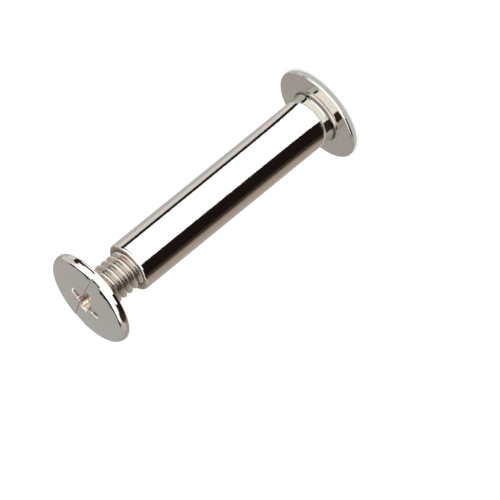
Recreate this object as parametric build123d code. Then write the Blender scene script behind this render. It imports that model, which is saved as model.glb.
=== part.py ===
from build123d import *

import os
from math import radians, tan

# A binding barrel screw stood on its barrel's head: the barrel below, the screw part way out of it above.
# Sizes are in mm and angles in degrees. The axis is +Z, and z = 0 is the outer face of the barrel's head.

# Thread: M4 coarse, with shank and bore plain at the thread's crests
thread_major = 3.84
thread_pitch = 0.7
thread_clearance = 0.05  # on each side, between the shank and the tapped bore
tap_drill_diameter = 3.3

# Heads, alike but for the screw's crown
head_overhang = 2.3  # how far a head stands out past the barrel
head_thickness = 0.8  # at the rim
crown_height = 0.35  # how far the middle of the screw's head rises over its rim
face_edge_radius = 0.5
seat_edge_chamfer = 0.2

# Barrel
wall = 0.53
grip_length = 24.0  # from the seat under its head to its mouth
barrel_neck_radius = 0.5
mouth_edge_radius = 0.3
mouth_chamfer = 0.1
tip_room = 1.5  # tapped bore left past the screw's tip when the screw is home
tap_runout = 2.0
drill_point_angle = 118

# Screw
shank_length = 10.5
tip_chamfer = 0.4
turns_out = 6  # turns from home, as the screw stands

# Combination drive: a slot right across the face and a cross recess at its centre
slot_width = 1.05
slot_rim_depth = 0.1  # the slot's flat floor lies this far below the rim's face
wing_span = 3.6
wing_width = 0.85
wing_corner_radius = 0.7
wing_end_angle = 26.5  # lean of a wing's end from the axis
wing_side_angle = 4.0  # lean of a wing's sides from the axis
recess_depth = 1.3  # from the middle of the face
point_diameter = 1.275  # of the pointed pit in the recess's floor
point_depth = 0.3

# Worked out from the sizes above
bore_radius = thread_major / 2 + thread_clearance
barrel_radius = bore_radius + wall
head_radius = barrel_radius + head_overhang
tapped_depth = shank_length + tip_room
screw_gap = turns_out * thread_pitch
rim_height = grip_length + screw_gap + 2 * head_thickness  # of the face of the screw's rim

face_edge = min(face_edge_radius, 0.65 * head_thickness)  # each edge treatment leaves some of its wall
seat_edge = min(seat_edge_chamfer, 0.3 * head_thickness)
mouth_edge = min(mouth_edge_radius, 0.65 * wall)
cut_overrun = 0.5  # how far a cutting solid runs out past what it cuts
upwards = (Align.CENTER, Align.CENTER, Align.MIN)


def corner_at(section, radius, height):
    """The corner of a half section that lies at this radius and height."""
    return section.vertices().sort_by_distance((radius, 0, height))[0]


def headed_stem(stem_radius, stem_length, crown):
    """Half section of a head, its rim's face on z = 0 and its crown below, with a stem standing on it."""
    stem_end = head_thickness + stem_length
    middle = (0, 0, -crown)
    rim = (head_radius, 0, 0)
    face = TangentArc(middle, rim, tangent=(1, 0, 0)) if crown else Line(middle, rim)
    outline = Polyline(
        rim,
        (head_radius, 0, head_thickness),
        (stem_radius, 0, head_thickness),
        (stem_radius, 0, stem_end),
        (0, 0, stem_end),
        middle,
    )
    section = make_face(face + outline)
    section = fillet(corner_at(section, head_radius, 0), face_edge)
    return chamfer(corner_at(section, head_radius, head_thickness), seat_edge)


def cross_plan():
    """Outline of the four wings at the face, with the corners between them rounded."""
    plan = Rectangle(wing_span, wing_width) + Rectangle(wing_width, wing_span)
    inner_corners = plan.vertices().sort_by_distance((0, 0, 0))[:4]
    return fillet(inner_corners, wing_corner_radius)


def combination_drive(crown):
    """The slot and the cross recess as one cutting solid, sunk upwards into a face that looks down."""
    slot_length = 2 * (head_radius + cut_overrun)
    slot_reach = slot_rim_depth + crown + cut_overrun
    slot = Pos(0, 0, -crown - cut_overrun) * Box(slot_length, slot_width, slot_reach, align=upwards)
    floor_reach = wing_span / 2 - recess_depth * tan(radians(wing_end_angle))
    wings = extrude(cross_plan(), recess_depth, taper=wing_side_angle)
    wing_ends = Cone(wing_span / 2, floor_reach, recess_depth, align=upwards)
    point = Pos(0, 0, recess_depth) * Cone(point_diameter / 2, 0, point_depth, align=upwards)
    return slot + Pos(0, 0, -crown) * ((wings & wing_ends) + point)


def tapped_bore():
    """The barrel's blind bore as one cutting solid, its mouth on z = 0 and its point below."""
    drill_radius = tap_drill_diameter / 2
    drilled_depth = tapped_depth + tap_runout
    drill_point_depth = drill_radius / tan(radians(drill_point_angle / 2))
    outline = Polyline(
        (0, 0, cut_overrun),
        (bore_radius + mouth_chamfer + cut_overrun, 0, cut_overrun),
        (bore_radius, 0, -mouth_chamfer),
        (bore_radius, 0, -tapped_depth),
        (drill_radius, 0, -tapped_depth - (bore_radius - drill_radius)),
        (drill_radius, 0, -drilled_depth),
        (0, 0, -drilled_depth - drill_point_depth),
        close=True,
    )
    return revolve(make_face(outline), Axis.Z)


def barrel():
    """The post: head down on z = 0, neck, plain tube and tapped mouth."""
    mouth_height = head_thickness + grip_length
    section = headed_stem(barrel_radius, grip_length, 0)
    section = fillet(corner_at(section, barrel_radius, head_thickness), barrel_neck_radius)
    section = fillet(corner_at(section, barrel_radius, mouth_height), mouth_edge)
    return revolve(section, Axis.Z) - combination_drive(0) - Pos(0, 0, mouth_height) * tapped_bore()


def screw():
    """The screw, turned over and stood above the barrel with its shank in the bore."""
    shank_radius = thread_major / 2
    section = headed_stem(shank_radius, shank_length, crown_height)
    section = chamfer(corner_at(section, shank_radius, head_thickness), mouth_chamfer)
    section = chamfer(corner_at(section, shank_radius, head_thickness + shank_length), tip_chamfer)
    head_down = revolve(section, Axis.Z) - combination_drive(crown_height)
    return Pos(0, 0, rim_height) * Rot(180, 0, 0) * head_down


os.makedirs("parts", exist_ok=True)
export_step(barrel(), "parts/barrel.step")
export_step(screw(), "parts/screw.step")
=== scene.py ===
from math import cos, degrees, hypot, pi, radians, sin, tan

import bmesh
import bpy
from mathutils import Matrix, Vector


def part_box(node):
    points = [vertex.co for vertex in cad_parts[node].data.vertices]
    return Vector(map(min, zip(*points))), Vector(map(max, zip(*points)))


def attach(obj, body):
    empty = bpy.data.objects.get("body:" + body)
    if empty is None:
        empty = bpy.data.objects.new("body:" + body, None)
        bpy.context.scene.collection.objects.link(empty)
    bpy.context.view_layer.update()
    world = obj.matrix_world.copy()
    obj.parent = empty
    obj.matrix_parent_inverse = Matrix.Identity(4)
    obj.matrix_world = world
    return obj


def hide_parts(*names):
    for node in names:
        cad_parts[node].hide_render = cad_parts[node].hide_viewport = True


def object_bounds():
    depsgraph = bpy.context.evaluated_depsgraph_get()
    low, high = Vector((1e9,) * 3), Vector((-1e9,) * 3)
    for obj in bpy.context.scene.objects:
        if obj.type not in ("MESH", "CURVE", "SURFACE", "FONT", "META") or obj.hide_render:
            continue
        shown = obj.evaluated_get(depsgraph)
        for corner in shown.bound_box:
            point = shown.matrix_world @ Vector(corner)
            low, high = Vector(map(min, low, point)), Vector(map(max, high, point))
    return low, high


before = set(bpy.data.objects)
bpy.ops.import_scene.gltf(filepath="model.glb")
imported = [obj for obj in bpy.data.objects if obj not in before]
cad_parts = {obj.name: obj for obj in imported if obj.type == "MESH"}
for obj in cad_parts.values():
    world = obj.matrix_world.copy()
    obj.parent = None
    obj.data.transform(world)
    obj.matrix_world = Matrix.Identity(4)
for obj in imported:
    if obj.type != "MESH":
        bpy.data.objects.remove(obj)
cadLow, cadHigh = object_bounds()

# the pieces are modelled in millimetres and brought to the frame's metres when they are finished
mm = 0.001
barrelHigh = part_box("barrel")[1] / mm
screwLow, screwHigh = (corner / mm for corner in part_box("screw"))
headRadius = min(barrelHigh.x, barrelHigh.y)
near = 1e-4      # points and planes closer than this are the same
endless = 99     # past every piece
sharpAngle = 35  # degrees; a steeper edge is shaded sharp, and eased where it stands round a drive
print("frame loaded: heads", round(2 * headRadius, 2), "mm across, height", round(screwHigh.z, 2), "mm")


def pickNothing():
    if bpy.context.object and bpy.context.object.mode == "EDIT":
        bpy.ops.object.mode_set(mode="OBJECT")
    bpy.ops.object.select_all(action="DESELECT")


def pick(piece):
    pickNothing()
    piece.select_set(True)
    bpy.context.view_layer.objects.active = piece


def editAll(piece):
    pick(piece)
    bpy.ops.object.mode_set(mode="EDIT")
    bpy.ops.mesh.select_mode(type="VERT")
    bpy.ops.mesh.select_all(action="SELECT")


def editSome(piece, kind, wanted):
    # edit mode with only the vertices, edges or faces that wanted() picks
    editAll(piece)
    bpy.ops.mesh.select_mode(type=kind)
    bpy.ops.mesh.select_all(action="DESELECT")
    bpy.ops.object.mode_set(mode="OBJECT")
    parts = {"VERT": piece.data.vertices, "EDGE": piece.data.edges, "FACE": piece.data.polygons}[kind]
    for part in parts:
        part.select = wanted(part)
    bpy.ops.object.mode_set(mode="EDIT")


def leaveEdit():
    bpy.ops.object.mode_set(mode="OBJECT")


def applyModifier(piece, kind, **settings):
    pick(piece)
    modifier = piece.modifiers.new(kind.lower(), kind)
    for setting, value in settings.items():
        setattr(modifier, setting, value)
    bpy.ops.object.modifier_apply(modifier=modifier.name)


def combine(piece, tool, operation):
    applyModifier(piece, "BOOLEAN", operation=operation, object=tool, solver="EXACT")
    bpy.data.objects.remove(tool)


def wire(name, corners):
    # a plane merged to one vertex, which is then walked along the corners, each (radius, height)
    pickNothing()
    bpy.ops.mesh.primitive_plane_add(size=1)
    piece = bpy.context.object
    piece.name = name
    bpy.ops.object.mode_set(mode="EDIT")
    bpy.ops.mesh.select_mode(type="VERT")
    bpy.ops.mesh.select_all(action="SELECT")
    bpy.ops.mesh.merge(type="CENTER")
    bpy.ops.transform.translate(value=(corners[0][0], 0, corners[0][1]))
    for (radius, height), (nextRadius, nextHeight) in zip(corners, corners[1:]):
        step = (nextRadius - radius, 0, nextHeight - height)
        bpy.ops.mesh.extrude_region_move(TRANSFORM_OT_translate={"value": step})
    leaveEdit()
    return piece


def roundCorner(piece, corner, size, segments):
    # size is how far the rounding reaches along both lines of the section
    place = Vector((corner[0], 0, corner[1]))
    editSome(piece, "VERT", lambda vertex: (vertex.co - place).length < near)
    bpy.ops.mesh.bevel(offset=size, segments=segments, affect="VERTICES")
    leaveEdit()


def closeUp(piece):
    editAll(piece)
    bpy.ops.mesh.remove_doubles(threshold=1e-5)
    bpy.ops.mesh.normals_make_consistent(inside=False)
    leaveEdit()


def spinAbout(piece, steps):
    editAll(piece)
    bpy.ops.mesh.spin(steps=steps, angle=2 * pi, center=(0, 0, 0), axis=(0, 0, 1))
    leaveEdit()
    closeUp(piece)


def editFlat(piece, height):
    # edit mode with the level faces at this height
    editSome(piece, "FACE", lambda face: abs(face.normal.z) > 0.9999 and abs(face.center.z - height) < near)


def flatten(piece, height):
    # the fan of triangles on a flat end becomes one face
    editFlat(piece, height)
    bpy.ops.mesh.dissolve_faces()
    leaveEdit()


def finishPiece(piece, name, body):
    # to metres, smooth over its roundings and flat on its flats
    pick(piece)
    piece.name = name
    piece.data.name = name
    piece.scale = (mm, mm, mm)
    bpy.ops.object.transform_apply(location=True, rotation=True, scale=True)
    bpy.ops.object.shade_smooth_by_angle(angle=radians(sharpAngle))
    applyModifier(piece, "WEIGHTED_NORMAL", keep_sharp=True, weight=50)
    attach(piece, body)
    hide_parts(body)
    print(name, "finished with", len(piece.data.polygons), "faces")


# facets across each rounding
facets = {
    "faceEdge": 8,
    "seatEdge": 5,
    "neckFillet": 12,
    "mouthEdge": 6,
    "driveEdge": 3,
    "wings": 10,
    "thread": 3,
}

# the thread, which the screw and the barrel share
thread = {
    "pitch": 0.7,
    "crestRadius": 1.92,
    "rootRadius": 1.58,
    "flankAngle": 30,         # lean of each flank, in degrees
    "crestFlat": 0.11,
    "crestRounding": 0.06,
    "rootRounding": 0.09,
    "clearance": 0.04,        # between the screw's thread and the barrel's
    "crestBelowSeat": 2.0,    # a crest lies this far under the screw's head ...
    "crestAngle": 81.2,       # ... at this angle round the axis, in degrees
    "stepsPerTurn": 64,
}


def threadedRod(name, bottom, top, growth):
    # one pitch of the profile is swept up a helix, with its ends left ragged past bottom and top
    pitch = thread["pitch"]
    crest = thread["crestRadius"] + growth
    root = thread["rootRadius"] + growth
    halfCrest = (thread["crestFlat"] + growth) / 2
    flank = (crest - root) * tan(radians(thread["flankAngle"]))
    crestAtZero = screwSeat - thread["crestBelowSeat"] - pitch * thread["crestAngle"] / 360
    middle = crestAtZero - pitch * (int((crestAtZero - bottom) / pitch) + 2)
    turns = int((top - middle) / pitch) + 2
    corners = [
        (root, middle - pitch / 2),
        (root, middle - halfCrest - flank),
        (crest, middle - halfCrest),
        (crest, middle + halfCrest),
        (root, middle + halfCrest + flank),
        (root, middle + pitch / 2),
    ]
    rod = wire(name, corners)
    for corner in (corners[1], corners[4]):
        roundCorner(rod, corner, thread["rootRounding"], facets["thread"])
    for corner in (corners[2], corners[3]):
        roundCorner(rod, corner, thread["crestRounding"], facets["thread"])
    applyModifier(
        rod, "SCREW", angle=2 * pi, screw_offset=pitch, iterations=turns,
        steps=thread["stepsPerTurn"], render_steps=thread["stepsPerTurn"], use_normal_calculate=True,
    )
    closeUp(rod)
    return rod


def cutSquare(rod, bottom, top):
    for height, side in ((bottom, {"clear_inner": True}), (top, {"clear_outer": True})):
        editAll(rod)
        bpy.ops.mesh.bisect(plane_co=(0, 0, height), plane_no=(0, 0, 1), use_fill=True, **side)
        leaveEdit()
    closeUp(rod)


# the drive that is cut in both heads: a slot right across and a cross recess
drive = {
    "slotWidth": 1.05,
    "slotDepth": 0.08,        # below the rim's face
    "slotCrown": 0.77,        # share of the face's crown that the slot's floor follows
    "wingSpan": 3.6,
    "wingWidth": 0.85,
    "cornerRounding": 0.7,    # of the corners between the wings
    "wingEndAngle": 26.5,     # lean of a wing's end from the axis
    "wingSideAngle": 4.0,     # lean of a wing's sides from the axis
    "recessDepth": 1.3,       # from the middle of the face
    "pitDiameter": 1.275,
    "pitDepth": 0.3,
    "overrun": 0.5,           # how far the cutters stand out of the face
    "coneSteps": 96,
    "pitSteps": 48,
    "domeCell": 0.6,          # of the grid that a crown is bent along
}


def dome(piece, height, phase, level):
    # a flat face at this level is cut in a grid, and its points are moved to a shallow dome that ends at
    # the rim; phase says how many cells the first lines lie from the middle
    spacing = drive["domeCell"]
    steps = range(int(headRadius / spacing))
    lines = [side * spacing * (step + phase) for step in steps for side in (-1, 1)]
    for axis in ((1, 0, 0), (0, 1, 0)):
        for line in lines:
            editFlat(piece, level)
            bpy.ops.mesh.bisect(plane_co=line * Vector(axis), plane_no=axis)
            leaveEdit()
    for vertex in piece.data.vertices:
        share = 1 - (vertex.co.x ** 2 + vertex.co.y ** 2) / headRadius ** 2
        if level - near < vertex.co.z < level + screwSizes["faceEdge"] + near:
            vertex.co.z -= height * share
    editSome(piece, "FACE", lambda face: len(face.vertices) > 4 and face.center.z < level)
    bpy.ops.mesh.quads_convert_to_tris(quad_method="BEAUTY", ngon_method="BEAUTY")
    leaveEdit()


def slotCutter(crown):
    # a bar along X, let into a face that looks down, its rim at z = 0 and its crown below
    reach = drive["slotDepth"] + crown + drive["overrun"]
    pickNothing()
    bpy.ops.mesh.primitive_cube_add(size=1)
    bar = bpy.context.object
    editAll(bar)
    bpy.ops.transform.resize(value=(2 * headRadius + 2 * drive["overrun"], drive["slotWidth"], reach))
    bpy.ops.transform.translate(value=(0, 0, drive["slotDepth"] - reach / 2))
    leaveEdit()
    if crown:
        dome(bar, drive["slotCrown"] * crown, 0.5, drive["slotDepth"])
    return bar


def recessCutter():
    # the cross is drawn flat, inset and sunk so that its walls lean, then trimmed by a cone
    half, reach = drive["wingWidth"] / 2, drive["wingSpan"] / 2
    depth, overrun = drive["recessDepth"], drive["overrun"]
    outline = []
    for quarter in range(4):
        swing = Matrix.Rotation(quarter * pi / 2, 3, "Z")
        for place in ((reach, half, 0), (half, half, 0), (half, reach, 0)):
            outline.append(swing @ Vector(place))
    cross = wire("recessCutter", [(0, 0)])
    editAll(cross)
    bpy.ops.transform.translate(value=outline[0])
    for here, there in zip(outline, outline[1:]):
        bpy.ops.mesh.extrude_region_move(TRANSFORM_OT_translate={"value": there - here})
    leaveEdit()
    ends = (outline[0], outline[-1])
    editSome(cross, "VERT", lambda vertex: min((vertex.co - end).length for end in ends) < near)
    bpy.ops.mesh.edge_face_add()
    leaveEdit()
    innerCorners = 1.5 * half
    editSome(cross, "VERT", lambda vertex: hypot(vertex.co.x, vertex.co.y) < innerCorners)
    bpy.ops.mesh.bevel(offset=drive["cornerRounding"], segments=facets["wings"], affect="VERTICES")
    bpy.ops.mesh.select_all(action="SELECT")
    bpy.ops.mesh.edge_face_add()
    bpy.ops.transform.translate(value=(0, 0, -overrun))
    bpy.ops.mesh.extrude_region_move(TRANSFORM_OT_translate={"value": (0, 0, overrun)})
    bpy.ops.mesh.inset(thickness=depth * tan(radians(drive["wingSideAngle"])))
    bpy.ops.transform.translate(value=(0, 0, depth))
    leaveEdit()
    closeUp(cross)

    lean = tan(radians(drive["wingEndAngle"]))
    pickNothing()
    bpy.ops.mesh.primitive_cone_add(
        vertices=drive["coneSteps"], radius1=reach + overrun * lean, radius2=reach - depth * lean,
        depth=depth + overrun, location=(0, 0, (depth - overrun) / 2),
    )
    combine(cross, bpy.context.object, "INTERSECT")

    pitRadius = drive["pitDiameter"] / 2
    pitFloor = depth + drive["pitDepth"]
    pit = wire("pit", [(0, depth / 2), (pitRadius, depth / 2), (pitRadius, depth), (0, pitFloor)])
    spinAbout(pit, drive["pitSteps"])
    combine(cross, pit, "UNION")
    return cross


def cutDrive(piece, edgeRounding, crown):
    # the standing edges of slot and recess are eased, and their floors stay crisp
    combine(piece, slotCutter(crown), "DIFFERENCE")
    recess = recessCutter()
    recess.location.z = -crown
    combine(piece, recess, "DIFFERENCE")
    editAll(piece)
    bpy.ops.mesh.select_mode(type="EDGE")
    bpy.ops.mesh.select_all(action="DESELECT")
    cage = bmesh.from_edit_mesh(piece.data)
    deepest = drive["slotDepth"] + 1e-3
    for edge in cage.edges:
        shallow = max(vertex.co.z for vertex in edge.verts) < deepest
        edge.select_set(shallow and edge.calc_face_angle_signed(0) > radians(sharpAngle))
    bmesh.update_edit_mesh(piece.data)
    bpy.ops.mesh.bevel(
        offset=edgeRounding, segments=facets["driveEdge"], affect="EDGES", clamp_overlap=False,
    )
    leaveEdit()


# the screw: a thin head with a low crown, and the threaded shank under it
screwSizes = {
    "length": 10.5,           # of the shank
    "headThickness": 0.8,     # at the rim
    "crown": 0.35,            # how far the middle of the face stands over its rim
    "faceEdge": 0.5,          # roundings of the head's rim
    "seatEdge": 0.2,
    "driveEdge": 0.035,
    "neckRadius": 1.57,       # plain stretch under the head, which has to pass the thread in the barrel
    "neckLength": 0.35,
    "runout": 0.9,            # over which the thread reaches its full depth
    "tipChamfer": 0.4,
    "steps": 192,
}
screwSeat = screwLow.z + screwSizes["length"]


def makeScrew():
    thickness, crown = screwSizes["headThickness"], screwSizes["crown"]
    head = wire("screwHead", [(0, 0), (headRadius, 0), (headRadius, thickness), (0, thickness)])
    roundCorner(head, (headRadius, 0), screwSizes["faceEdge"], facets["faceEdge"])
    roundCorner(head, (headRadius, thickness), screwSizes["seatEdge"], facets["seatEdge"])
    spinAbout(head, screwSizes["steps"])
    flatten(head, 0)
    flatten(head, thickness)
    dome(head, crown, 1, 0)
    cutDrive(head, screwSizes["driveEdge"], crown)
    editAll(head)
    bpy.ops.transform.rotate(value=pi, orient_axis="X", center_override=(0, 0, 0))
    bpy.ops.transform.translate(value=(0, 0, screwSeat + thickness))
    leaveEdit()
    print("screw head turned and cut")

    shankTop = screwSeat + thickness / 4  # inside the head
    shank = threadedRod("shank", screwLow.z, shankTop, 0)
    neckStart = screwSeat - screwSizes["neckLength"]
    for vertex in shank.data.vertices:
        radius = hypot(vertex.co.x, vertex.co.y)
        depth = min(max((neckStart - vertex.co.z) / screwSizes["runout"], 0), 1)
        wanted = screwSizes["neckRadius"] + (radius - screwSizes["neckRadius"]) * depth
        vertex.co.x *= wanted / radius
        vertex.co.y *= wanted / radius
    cutSquare(shank, screwLow.z, shankTop)
    slack = 0.2
    tipRadius = thread["crestRadius"] - screwSizes["tipChamfer"]
    blankRadius = thread["crestRadius"] + slack
    blank = wire("blank", [
        (0, screwLow.z - slack),
        (tipRadius - slack, screwLow.z - slack),
        (blankRadius, screwLow.z + screwSizes["tipChamfer"] + slack),
        (blankRadius, screwSeat + thickness),
        (0, screwSeat + thickness),
    ])
    spinAbout(blank, screwSizes["steps"])
    combine(shank, blank, "INTERSECT")
    combine(head, shank, "UNION")
    finishPiece(head, "threaded_screw", "screw")
    return head


# the barrel: a headed tube, tapped from its mouth
barrelSizes = {
    "radius": 2.5,
    "headThickness": 0.8,
    "faceEdge": 0.5,
    "seatEdge": 0.2,
    "driveEdge": 0.035,
    "neckFillet": 0.5,
    "mouthEdge": 0.3,
    "seatGap": 0.005,         # hairline left between the mouth and the screw's head when it is home
    "countersink": 2.1,       # radius of the bore's countersink at the mouth
    "drillRadius": 1.65,
    "tappedDepth": 12.0,
    "drilledDepth": 14.0,
    "drillPointAngle": 118,
    "steps": 192,
}


def makeBarrel():
    radius, thickness = barrelSizes["radius"], barrelSizes["headThickness"]
    mouth = barrelHigh.z - barrelSizes["seatGap"]
    drill, countersink = barrelSizes["drillRadius"], barrelSizes["countersink"]
    bottom = mouth - barrelSizes["drilledDepth"]
    point = bottom - drill / tan(radians(barrelSizes["drillPointAngle"] / 2))
    tube = wire("tube", [
        (0, 0),
        (headRadius, 0),
        (headRadius, thickness),
        (radius, thickness),
        (radius, mouth),
        (countersink, mouth),
        (drill, mouth - (countersink - drill)),
        (drill, bottom),
        (0, point),
    ])
    roundCorner(tube, (headRadius, 0), barrelSizes["faceEdge"], facets["faceEdge"])
    roundCorner(tube, (headRadius, thickness), barrelSizes["seatEdge"], facets["seatEdge"])
    roundCorner(tube, (radius, thickness), barrelSizes["neckFillet"], facets["neckFillet"])
    roundCorner(tube, (radius, mouth), barrelSizes["mouthEdge"], facets["mouthEdge"])
    spinAbout(tube, barrelSizes["steps"])
    flatten(tube, 0)
    cutDrive(tube, barrelSizes["driveEdge"], 0)
    print("barrel turned, drilled and cut")

    tapped = mouth - barrelSizes["tappedDepth"]
    tap = threadedRod("tap", tapped, mouth + 1, thread["clearance"])
    cutSquare(tap, tapped, mouth + 1)
    combine(tube, tap, "DIFFERENCE")
    finishPiece(tube, "tapped_barrel", "barrel")
    return tube


screw = makeScrew()
barrel = makeBarrel()


# nickel plate: shared effects as groups, one material for each piece
def newGroup(name, inputs, outputs):
    group = bpy.data.node_groups.new(name, "ShaderNodeTree")
    for label, value in inputs.items():
        socket = group.interface.new_socket(name=label, in_out="INPUT", socket_type="NodeSocketFloat")
        socket.default_value = value
    for label, kind in outputs.items():
        group.interface.new_socket(name=label, in_out="OUTPUT", socket_type=kind)
    return group, group.nodes.new("NodeGroupInput"), group.nodes.new("NodeGroupOutput")


def addNode(tree, kind, settings=None, **values):
    node = tree.nodes.new(kind)
    for setting, value in (settings or {}).items():
        setattr(node, setting, value)
    for socket, value in values.items():
        node.inputs[socket].default_value = value
    return node


def calc(tree, operation, first, second=None, third=None, clamp=False):
    node = tree.nodes.new("ShaderNodeMath")
    node.operation = operation
    node.use_clamp = clamp
    for number, value in enumerate((first, second, third)):
        if value is None:
            continue
        if isinstance(value, (int, float)):
            node.inputs[number].default_value = value
        else:
            tree.links.new(value, node.inputs[number])
    return node.outputs[0]


def stretch(tree, value, start, gain):
    # 0 up to the start, then rising by the gain to 1
    return calc(tree, "MULTIPLY", calc(tree, "SUBTRACT", value, start), gain, clamp=True)


def turnedLines():
    # fine rings left by turning, which run round the axis on every face; works on (radius, height)
    group, given, result = newGroup("turnedLines", {"Spacing": 0.00005}, {"Height": "NodeSocketFloat"})
    place = addNode(group, "ShaderNodeTexCoord").outputs["Object"]
    split = addNode(group, "ShaderNodeSeparateXYZ")
    group.links.new(place, split.inputs[0])
    x, y, z = split.outputs
    squared = calc(group, "ADD", calc(group, "MULTIPLY", x, x), calc(group, "MULTIPLY", y, y))
    radius = calc(group, "SQRT", squared)
    section = addNode(group, "ShaderNodeCombineXYZ")
    group.links.new(radius, section.inputs[0])
    group.links.new(z, section.inputs[1])
    lines = addNode(group, "ShaderNodeTexNoise", {"noise_dimensions": "2D"}, Detail=2.0, Roughness=0.6)
    group.links.new(section.outputs[0], lines.inputs["Vector"])
    group.links.new(calc(group, "DIVIDE", 1.0, given.outputs["Spacing"]), lines.inputs["Scale"])
    group.links.new(lines.outputs[0], result.inputs["Height"])
    return group


def cloudyPlating():
    # broad clouds in the plating, a slow drift of its hue, and the faint waviness of the metal under it
    group, given, result = newGroup("cloudyPlating", {"Size": 0.0012}, {
        "Cloud": "NodeSocketFloat", "Hue": "NodeSocketFloat", "Wave": "NodeSocketFloat",
    })
    place = addNode(group, "ShaderNodeTexCoord").outputs["Object"]
    cloud = addNode(group, "ShaderNodeTexNoise", Detail=4.0, Roughness=0.55, Distortion=0.4)
    hue = addNode(group, "ShaderNodeTexNoise", Detail=1.0, Roughness=0.5, Distortion=0.6)
    wave = addNode(group, "ShaderNodeTexNoise", Detail=1.0, Roughness=0.4)
    for noise, share, label in ((cloud, 1.0, "Cloud"), (hue, 1.3, "Hue"), (wave, 4.0, "Wave")):
        group.links.new(place, noise.inputs["Vector"])
        group.links.new(calc(group, "DIVIDE", share, given.outputs["Size"]), noise.inputs["Scale"])
        group.links.new(noise.outputs[0], result.inputs[label])
    return group


scratches = {
    "directions": ((0.6, 3.1), (-0.9, 8.4)),  # turn in radians, and where in the noise each one lies
    "fineness": (700, 24000, 700),            # of the noise along each axis
    "start": (0.66, 12.0),                    # where in the noise a scratch starts, and how fast it rises
}


def fineMarks():
    # short hairline scratches from handling, in two crossing directions, 1 on a scratch and 0 between
    group, given, result = newGroup("fineMarks", {"Density": 0.5}, {"Marks": "NodeSocketFloat"})
    place = addNode(group, "ShaderNodeTexCoord").outputs["Object"]
    found = []
    for turn, seed in scratches["directions"]:
        rotation = (turn, 0.5 * turn, turn)
        mapping = addNode(group, "ShaderNodeMapping", Rotation=rotation, Location=(seed, 0, 0))
        mapping.inputs["Scale"].default_value = scratches["fineness"]
        group.links.new(place, mapping.inputs["Vector"])
        streaks = addNode(group, "ShaderNodeTexNoise", Scale=1.0, Detail=3.0, Distortion=0.3)
        group.links.new(mapping.outputs[0], streaks.inputs["Vector"])
        found.append(stretch(group, streaks.outputs[0], *scratches["start"]))
    both = calc(group, "MAXIMUM", *found)
    group.links.new(calc(group, "MULTIPLY", both, given.outputs["Density"]), result.inputs["Marks"])
    return group


plating = {
    "cool": (0.77, 0.81, 0.725),       # the hue drifts between these two
    "warm": (0.88, 0.765, 0.73),
    "stain": (0.76, 0.69, 0.61),       # where the clouds are densest
    "brownShade": (0.46, 0.32, 0.22),     # painted brown shade deep in the thread, the recess, the bore, the mouth and the neck's foot, and a painted reflection on the seat
    "blackShade": (0.06, 0.045, 0.035),     # painted black shade on the slot's walls, and a painted dark reflection round the neck
    "roughness": 0.06,
    "dullness": 0.18,                  # what thread and recess add to it
    "bareness": 0.16,                  # how much less metallic their brown places are
    "cloudRoughness": 0.07,            # what the clouds and the scratches add to the roughness
    "markRoughness": 0.08,
    "markDepth": 2e-7,
    "patches": (0.38, 6.0),            # where in their noise these start, and how fast they rise
    "hueDrift": (0.38, 4.0),
    "clouding": (0.45, 2.4),
}

# how far each piece departs from a clean mirror, with depths in metres
screwFinish = {"lineDepth": 3e-8, "waveDepth": 2e-6, "cloudAmount": 0.5}
barrelFinish = {"lineDepth": 4e-8, "waveDepth": 3.5e-6, "cloudAmount": 0.35}

# where shade and reflection are painted on the plating, in millimetres, and how strongly
shadeLayout = {
    "recessStart": 0.2,       # below the face
    "recessMargin": 0.1,      # round the wings
    "headReach": 2.0,         # no drive lies deeper than this
    "wallReach": 0.004,       # from the slot's walls
    "wallDepth": 0.3,
    "wallStrength": 0.6,
    "rootStrength": 0.8,
    "threadMargin": 0.02,     # left without painted shade under the screw's head
    "boreRadius": 2.34,       # the bore and the inner part of the mouth
    "boreStart": 3.0,         # above the barrel's drive
    "boreStrength": 0.9,
    "mouthDepth": 0.08,
    "mouthStrength": 0.5,
    "neckHeight": 1.01,       # of the dark ring, a painted reflection, in the corner of the neck
    "neckBlur": 0.06,
    "neckGain": 2.4,
    "neckStrength": 0.85,
    "neckRadius": 3.2,
    # a mottled painted reflection of the barrel on the seat
    "seatLevels": (0.7, 0.93),
    "seatStrength": 0.2,
    "seatPatches": 0.14,
    # painted brown shade round the foot of the neck
    "footLevels": (0.7, 0.94),
    "footRadius": 3.0,
    "footStrength": 0.3,
}


def blend(tree, factor, first, second):
    # first may be a colour or the result of another blend
    mix = addNode(tree, "ShaderNodeMix", {"data_type": "RGBA"})
    tree.links.new(factor, mix.inputs["Factor"])
    if isinstance(first, tuple):
        mix.inputs["A"].default_value = (*first, 1)
    else:
        tree.links.new(first, mix.inputs["A"])
    mix.inputs["B"].default_value = (*second, 1)
    return mix.outputs["Result"]


def within(tree, value, low, high):
    above = calc(tree, "GREATER_THAN", value, low * mm)
    return calc(tree, "MULTIPLY", above, calc(tree, "LESS_THAN", value, high * mm))


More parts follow.
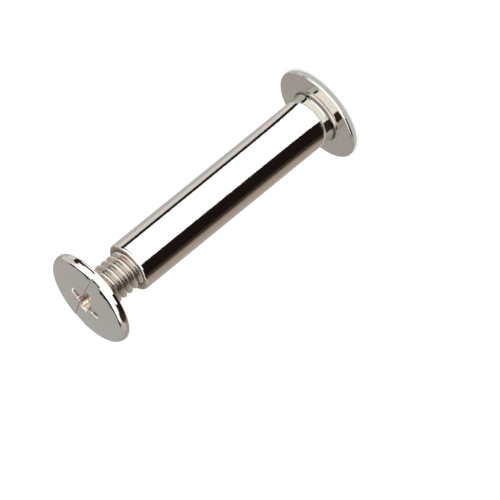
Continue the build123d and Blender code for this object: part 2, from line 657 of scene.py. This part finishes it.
def nickel(name, groups, finish, shadeMasks):
    material = bpy.data.materials.new(name)
    material.use_nodes = True
    tree = material.node_tree
    shader = tree.nodes["Principled BSDF"]

    trees = ({"node_tree": group} for group in groups.values())
    lines, clouds, marks = (addNode(tree, "ShaderNodeGroup", settings) for settings in trees)
    place = addNode(tree, "ShaderNodeTexCoord").outputs["Object"]
    split = addNode(tree, "ShaderNodeSeparateXYZ")
    tree.links.new(place, split.inputs[0])
    x, y, z = split.outputs
    squared = calc(tree, "ADD", calc(tree, "MULTIPLY", x, x), calc(tree, "MULTIPLY", y, y))
    patches = stretch(tree, clouds.outputs["Wave"], *plating["patches"])
    # painted brown shade, painted black shade, and the dullness that goes with them
    brownShade, blackShade, dull = shadeMasks(tree, squared, y, z, patches)

    hue = stretch(tree, clouds.outputs["Hue"], *plating["hueDrift"])
    cloudStart, cloudGain = plating["clouding"]
    cloud = stretch(tree, clouds.outputs["Cloud"], cloudStart, cloudGain * finish["cloudAmount"])
    colour = blend(tree, hue, plating["cool"], plating["warm"])
    colour = blend(tree, cloud, colour, plating["stain"])
    # painted brown shade, then painted black shade, laid over the plating's own colour
    colour = blend(tree, brownShade, colour, plating["brownShade"])
    colour = blend(tree, blackShade, colour, plating["blackShade"])
    tree.links.new(colour, shader.inputs["Base Color"])

    smoothest = plating["roughness"] - 0.03
    rough = calc(tree, "MULTIPLY_ADD", clouds.outputs["Cloud"], plating["cloudRoughness"], smoothest)
    rough = calc(tree, "MULTIPLY_ADD", marks.outputs["Marks"], plating["markRoughness"], rough)
    rough = calc(tree, "MULTIPLY_ADD", dull, plating["dullness"], rough)
    tree.links.new(rough, shader.inputs["Roughness"])
    metallic = calc(tree, "MULTIPLY_ADD", calc(tree, "MULTIPLY", dull, brownShade), -plating["bareness"], 1.0)
    tree.links.new(metallic, shader.inputs["Metallic"])

    bumps = None
    reliefs = (
        (clouds.outputs["Wave"], finish["waveDepth"]),
        (lines.outputs["Height"], finish["lineDepth"]),
        (marks.outputs["Marks"], -plating["markDepth"]),
    )
    for height, depth in reliefs:
        bump = addNode(tree, "ShaderNodeBump", Distance=abs(depth))
        bump.invert = depth < 0
        tree.links.new(height, bump.inputs["Height"])
        if bumps:
            tree.links.new(bumps.outputs[0], bump.inputs["Normal"])
        bumps = bump
    tree.links.new(bumps.outputs[0], shader.inputs["Normal"])
    return material


def driveShade(tree, squared, y, depth, crown, patches):
    # painted brown shade in the recess and painted black shade on the slot's walls; depth is measured from
    # the rim's face, and lift is how far the crown stands over it
    radius = calc(tree, "SQRT", squared)
    headSpan = headRadius * mm
    lift = calc(tree, "MULTIPLY_ADD", calc(tree, "DIVIDE", squared, headSpan ** 2), -crown * mm, crown * mm)
    # painted brown shade inside the recess, mottled by the patches
    recess = calc(tree, "GREATER_THAN", calc(tree, "ADD", depth, lift), shadeLayout["recessStart"] * mm)
    span = drive["wingSpan"] / 2 + shadeLayout["recessMargin"]
    recess = calc(tree, "MULTIPLY", recess, within(tree, radius, -1, span))
    recess = calc(tree, "MULTIPLY", recess, calc(tree, "LESS_THAN", depth, shadeLayout["headReach"] * mm))
    # painted black shade along the top of the slot's walls
    fromMiddle = calc(tree, "SUBTRACT", calc(tree, "ABSOLUTE", y), drive["slotWidth"] / 2 * mm)
    wall = calc(tree, "LESS_THAN", calc(tree, "ABSOLUTE", fromMiddle), shadeLayout["wallReach"] * mm)
    wall = calc(tree, "MULTIPLY", wall, calc(tree, "LESS_THAN", depth, shadeLayout["wallDepth"] * mm))
    wall = calc(tree, "MULTIPLY", wall, shadeLayout["wallStrength"])
    return calc(tree, "MULTIPLY", recess, patches), wall, recess


def screwShade(tree, squared, y, height, patches):
    # painted brown shade, and dullness, towards the thread's root and in the drive
    depth = calc(tree, "SUBTRACT", (screwSeat + screwSizes["headThickness"]) * mm, height)
    recess, wall, dull = driveShade(tree, squared, y, depth, screwSizes["crown"], patches)
    root, crest = thread["rootRadius"] * mm, thread["crestRadius"] * mm
    radius = calc(tree, "SQRT", squared)
    # painted brown shade rising towards the thread's root
    deep = calc(tree, "DIVIDE", calc(tree, "SUBTRACT", crest, radius), crest - root, clamp=True)
    deep = calc(tree, "MULTIPLY", deep, calc(tree, "MULTIPLY", deep, shadeLayout["rootStrength"]))
    below = calc(tree, "LESS_THAN", height, (screwSeat - shadeLayout["threadMargin"]) * mm)
    deep = calc(tree, "MULTIPLY", deep, below)
    return calc(tree, "MAXIMUM", deep, recess), wall, calc(tree, "MAXIMUM", below, dull)


def barrelShade(tree, squared, y, height, patches):
    # painted brown shade in the bore, on the mouth's face and round the neck's foot, a painted reflection
    # on the seat, and a painted dark reflection in the corner of the neck
    recess, wall, dull = driveShade(tree, squared, y, height, 0, patches)
    radius = calc(tree, "SQRT", squared)
    tapped = within(tree, radius, -1, shadeLayout["boreRadius"])
    tapped = calc(tree, "MULTIPLY", tapped, within(tree, height, shadeLayout["boreStart"], endless))
    # a painted dark reflection as a ring in the corner of the neck
    fromCorner = calc(tree, "ABSOLUTE", calc(tree, "SUBTRACT", height, shadeLayout["neckHeight"] * mm))
    fromCorner = calc(tree, "DIVIDE", fromCorner, shadeLayout["neckBlur"] * mm)
    corner = calc(tree, "SUBTRACT", shadeLayout["neckGain"], fromCorner, clamp=True)
    corner = calc(tree, "MULTIPLY", corner, within(tree, radius, 1, shadeLayout["neckRadius"]))
    blackShade = calc(tree, "MAXIMUM", wall, calc(tree, "MULTIPLY", corner, shadeLayout["neckStrength"]))
    # painted brown shade on the mouth's face under the screw's head and round the neck's foot, and a
    # mottled painted reflection on the seat
    mouth = within(tree, height, barrelHigh.z - shadeLayout["mouthDepth"], endless)
    mottle = calc(tree, "MULTIPLY_ADD", patches, shadeLayout["seatPatches"], shadeLayout["seatStrength"])
    foot = within(tree, height, *shadeLayout["footLevels"])
    foot = calc(tree, "MULTIPLY", foot, within(tree, radius, 1, shadeLayout["footRadius"]))
    brownLayers = (
        calc(tree, "MULTIPLY", tapped, shadeLayout["boreStrength"]),
        calc(tree, "MULTIPLY", mouth, shadeLayout["mouthStrength"]),
        calc(tree, "MULTIPLY", within(tree, height, *shadeLayout["seatLevels"]), mottle),
        calc(tree, "MULTIPLY", foot, shadeLayout["footStrength"]),
    )
    brownShade = recess
    for stain in brownLayers:
        brownShade = calc(tree, "MAXIMUM", brownShade, stain)
    return brownShade, blackShade, calc(tree, "MAXIMUM", dull, tapped)


effects = {"lines": turnedLines(), "clouds": cloudyPlating(), "marks": fineMarks()}
screw.data.materials.clear()
screw.data.materials.append(nickel("screwNickel", effects, screwFinish, screwShade))
barrel.data.materials.clear()
barrel.data.materials.append(nickel("barrelNickel", effects, barrelFinish, barrelShade))
print("nickel made")


# the camera: a long lens, rolled so that the part lies across the frame
camera = {
    "azimuth": 81.2,
    "elevation": 22.17,
    "roll": -129.37,
    "distance": 0.45624,
    "offRight": -0.00412,     # where the part's centre lies in the frame, at its own distance
    "offUp": 0.00404,
    "lens": 360,
}


def addCamera():
    data = bpy.data.cameras.new("camera")
    data.lens = camera["lens"]
    data.sensor_width = 36
    data.clip_start = 0.01
    data.clip_end = 10
    body = bpy.data.objects.new("camera", data)
    bpy.context.scene.collection.objects.link(body)
    azimuth, elevation = radians(camera["azimuth"]), radians(camera["elevation"])
    back = Vector((sin(azimuth) * cos(elevation), -cos(azimuth) * cos(elevation), sin(elevation)))
    turn = (-back).to_track_quat("-Z", "Y").to_matrix() @ Matrix.Rotation(radians(camera["roll"]), 3, "Z")
    centre = (cadLow + cadHigh) / 2
    place = centre - turn @ Vector((camera["offRight"], camera["offUp"], -camera["distance"]))
    body.matrix_world = Matrix.Translation(place) @ turn.to_4x4()
    bpy.context.scene.camera = body
    return body


addCamera()
print("camera set")


# the studio: a white floor that glows a little, cards round the part that only reflections see, and lamps
studio = {
    "floorSize": 4.0,
    "floorColour": 0.5,
    "floorGlow": 0.62,
    "worldFill": 0.7,
    "skyRadius": 0.4,         # of the dome on which the standing cards lie
    "cardStep": 3,            # degrees that a card turns in one facet
    "cardRows": 8,
    "layerHeight": 0.00002,   # of a floor card over the floor, and of a second layer over the first
}

# a slightly cool light and a warm near-black, which many cards share
lightTone = (1.3, 1.33, 1.4)
darkTone = (0.02, 0.015, 0.012)

# cards on the floor: their sides in degrees from the camera towards its left, and where they start and end
floorCards = {
    "footShade": {"sides": (-180, 180), "reach": (0.0044, 0.0067), "tone": (0.6, 0.6, 0.62)},
    "frontBounce": {"sides": (-79, 24), "reach": (0.0067, 0.4), "tone": lightTone},
    "lowBlack": {"sides": (24, 75), "reach": (0.0067, 0.4), "tone": (0.012, 0.008, 0.007)},
    "leftGap": {"sides": (75, 89), "reach": (0.0067, 0.4), "tone": (0.05, 0.035, 0.03)},
    "leftDark": {"sides": (89, 99), "reach": (0.0067, 0.4), "tone": (0.25, 0.20, 0.17)},
    "leftWarm": {"sides": (99, 125), "reach": (0.0067, 0.4), "tone": (0.42, 0.35, 0.30)},
    "leftPale": {"sides": (125, 180), "reach": (0.0067, 0.4), "tone": (0.45, 0.41, 0.39)},
    "rightGap": {"sides": (-94, -79), "reach": (0.0067, 0.4), "tone": darkTone},
    "rightPale": {"sides": (-118, -94), "reach": (0.0067, 0.4), "tone": (0.76, 0.74, 0.73)},
    "rightDusk": {"sides": (-180, -118), "reach": (0.0067, 0.4), "tone": (0.52, 0.52, 0.53)},
    "farBlack": {"sides": (-94, -34), "reach": (0.069, 0.4), "tone": darkTone, "layer": 2},
}

# standing cards: their sides, and how high they reach from the part's middle, in degrees
skyCards = {
    "frontLight": {"sides": (-80, 46), "rise": (-5, 48), "tone": lightTone},
    "frontHigh": {"sides": (46, 76), "rise": (36, 48), "tone": lightTone},
    "frontGap": {"sides": (46, 76), "rise": (-5, 36), "tone": (0.03, 0.022, 0.018)},
    "topLight": {"sides": (-180, 180), "rise": (45, 90), "tone": lightTone},
    "backGrey": {"sides": (120, 225), "rise": (4, 48), "tone": (0.455, 0.45, 0.45)},
    "backDusk": {"sides": (120, 225), "rise": (-5, 4), "tone": (0.25, 0.245, 0.24)},
    "leftGrey": {"sides": (90, 120), "rise": (-5, 42), "tone": (0.55, 0.53, 0.51)},
    "rightGrey": {"sides": (-135, -94), "rise": (-5, 42), "tone": (0.7, 0.69, 0.68)},
    "rightHigh": {"sides": (-94, -80), "rise": (30, 48), "tone": lightTone},
    "leftEdge": {"sides": (76, 95), "rise": (-5, 44), "tone": (0.03, 0.025, 0.02), "nearer": 0.95},
    "rightEdge": {"sides": (-94, -80), "rise": (-5, 30), "tone": darkTone, "nearer": 0.95},
    "rightLow": {"sides": (-80, -62), "rise": (-5, 8), "tone": darkTone, "nearer": 0.95},
    "backEdge": {"sides": (150, 210), "rise": (39, 69), "tone": darkTone, "nearer": 0.95},
    "rightHighEdge": {"sides": (210, 225), "rise": (43, 50), "tone": darkTone, "nearer": 0.95},
    "leftHighEdge": {"sides": (135, 150), "rise": (41, 50), "tone": darkTone, "nearer": 0.95},
}


def glowing(name, tone, strength=1.0):
    material = bpy.data.materials.new(name)
    material.use_nodes = True
    tree = material.node_tree
    tree.nodes.clear()
    glow = addNode(tree, "ShaderNodeEmission", Color=(*tone, 1), Strength=strength)
    out = addNode(tree, "ShaderNodeOutputMaterial")
    tree.links.new(glow.outputs[0], out.inputs["Surface"])
    return material


def addCard(name, card):
    start, end = card["sides"]
    if "reach" in card:
        corners = [(distance, studio["layerHeight"] * card.get("layer", 1)) for distance in card["reach"]]
    else:
        low, high = card["rise"]
        distance = studio["skyRadius"] * card.get("nearer", 1)
        middle = (cadLow.z + cadHigh.z) / 2
        rows = studio["cardRows"]
        angles = [radians(low + (high - low) * step / rows) for step in range(rows + 1)]
        corners = [(distance * cos(angle), middle + distance * sin(angle)) for angle in angles]
    sheet = wire(name, corners)
    editAll(sheet)
    spread = radians(end - start)
    steps = max(4, int(degrees(spread) / studio["cardStep"]))
    bpy.ops.mesh.spin(steps=steps, angle=spread, center=(0, 0, 0), axis=(0, 0, 1))
    leaveEdit()
    sheet.rotation_euler.z = radians(camera["azimuth"] - 90 - start)
    bpy.ops.object.transform_apply(location=True, rotation=True, scale=True)
    sheet.data.materials.append(glowing(name, card["tone"]))
    sheet.visible_camera = False
    sheet.visible_diffuse = False
    sheet.visible_shadow = False
    sheet.visible_transmission = False


def seenDirectly(tree):
    # 1 for what the camera or a reflection sees, and 0 for the light on matt surfaces
    path = addNode(tree, "ShaderNodeLightPath")
    seen = calc(tree, "ADD", path.outputs["Is Camera Ray"], path.outputs["Is Glossy Ray"])
    return calc(tree, "ADD", seen, path.outputs["Is Transmission Ray"], clamp=True)


def addFloor():
    pickNothing()
    bpy.ops.mesh.primitive_plane_add(size=studio["floorSize"], location=(0, 0, 0))
    floor = bpy.context.object
    floor.name = "floor"
    material = bpy.data.materials.new("floorWhite")
    material.use_nodes = True
    tree = material.node_tree
    tree.nodes.clear()
    matt = addNode(tree, "ShaderNodeBsdfDiffuse", Color=(studio["floorColour"],) * 3 + (1,))
    glow = addNode(tree, "ShaderNodeEmission", Color=(1, 1, 1, 1))
    strength = calc(tree, "MULTIPLY", seenDirectly(tree), studio["floorGlow"])
    tree.links.new(strength, glow.inputs["Strength"])
    both = addNode(tree, "ShaderNodeAddShader")
    tree.links.new(matt.outputs[0], both.inputs[0])
    tree.links.new(glow.outputs[0], both.inputs[1])
    out = addNode(tree, "ShaderNodeOutputMaterial")
    tree.links.new(both.outputs[0], out.inputs["Surface"])
    floor.data.materials.append(material)


def addWorld():
    world = bpy.data.worlds.new("studioWorld")
    bpy.context.scene.world = world
    world.use_nodes = True
    tree = world.node_tree
    tree.nodes.clear()
    fill = studio["worldFill"]
    strength = calc(tree, "MULTIPLY_ADD", seenDirectly(tree), 1.0 - fill, fill)
    glow = addNode(tree, "ShaderNodeBackground", Color=(1, 1, 1, 1))
    tree.links.new(strength, glow.inputs["Strength"])
    out = addNode(tree, "ShaderNodeOutputWorld")
    tree.links.new(glow.outputs[0], out.inputs["Surface"])


# lamps: degrees round from the camera towards its left, degrees up from the part's middle, then the
# distance from there and the side
lamps = {
    "overhead": {"round": 20, "up": 75, "distance": 0.30, "side": 0.22, "brightness": 1.5},
    "frontLeft": {"round": 45, "up": 40, "distance": 0.35, "side": 0.16, "brightness": 1.5},
}


def addLamp(name, lamp):
    data = bpy.data.lights.new(name, "AREA")
    data.shape = "SQUARE"
    data.size = lamp["side"]
    data.energy = lamp["brightness"] * pi * lamp["side"] ** 2
    body = bpy.data.objects.new(name, data)
    bpy.context.scene.collection.objects.link(body)
    angle, up = radians(camera["azimuth"] - 90 - lamp["round"]), radians(lamp["up"])
    towards = Vector((cos(angle) * cos(up), sin(angle) * cos(up), sin(up)))
    centre = (cadLow + cadHigh) / 2
    body.location = centre + towards * lamp["distance"]
    body.rotation_euler = towards.to_track_quat("Z", "Y").to_euler()
    body.visible_camera = False
    body.visible_glossy = False


addFloor()
addWorld()
for name, card in {**floorCards, **skyCards}.items():
    addCard(name, card)
for name, lamp in lamps.items():
    addLamp(name, lamp)
bpy.context.scene.view_settings.view_transform = "Standard"
print("studio set")
